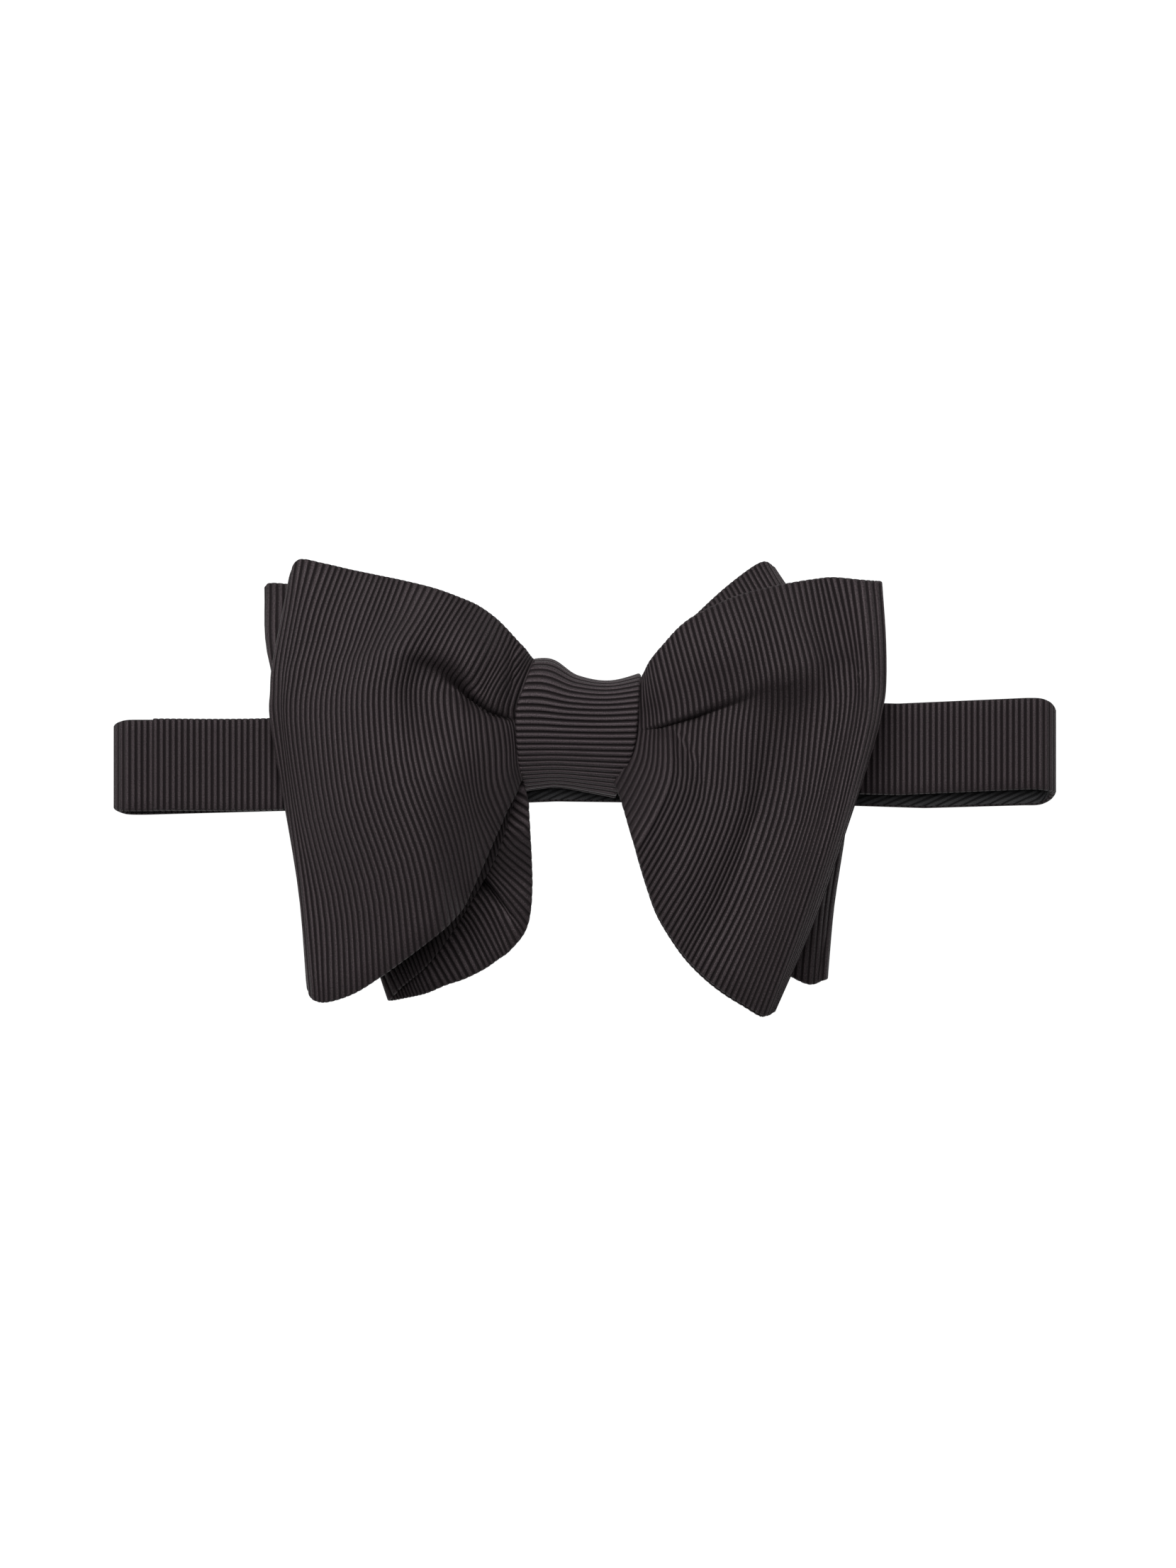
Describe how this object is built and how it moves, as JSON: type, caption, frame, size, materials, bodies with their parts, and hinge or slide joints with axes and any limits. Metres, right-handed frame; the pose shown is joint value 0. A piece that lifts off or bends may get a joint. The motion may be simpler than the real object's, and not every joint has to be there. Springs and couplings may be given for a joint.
{
  "type": "pre-tied bow tie",
  "caption": "Pre-tied bow tie of ribbed black silk: stacked butterfly bows gathered by a knot on a closed adjustable neck band, lying flat.",
  "frame": {"origin": "middle of the whole tie's outline on the surface that it lies on", "axes": "+X along the neck band to the right as the front is seen, +Y towards the top edge of the bows, +Z out of the front face of the bow"},
  "size_m": [0.1992, 0.0953, 0.0274],
  "materials": {
    "ribbed_silk": "ribbed silk with a soft sheen, warm charcoal black",
    "knot_silk": "ribbed silk with a soft sheen, warm charcoal black, ribs running across",
    "band_silk": "ribbed silk outside, fine twill lining inside, warm charcoal black",
    "clasp_metal": "plain stamped steel, satin"
  },
  "bodies": {
    "root": {"front_bow": "ribbed_silk", "rear_bow": "ribbed_silk", "knot_wrap": "knot_silk", "neck_band": "band_silk", "band_tail": "band_silk", "hook_clasp": "clasp_metal"}
  },
  "joints": []
}
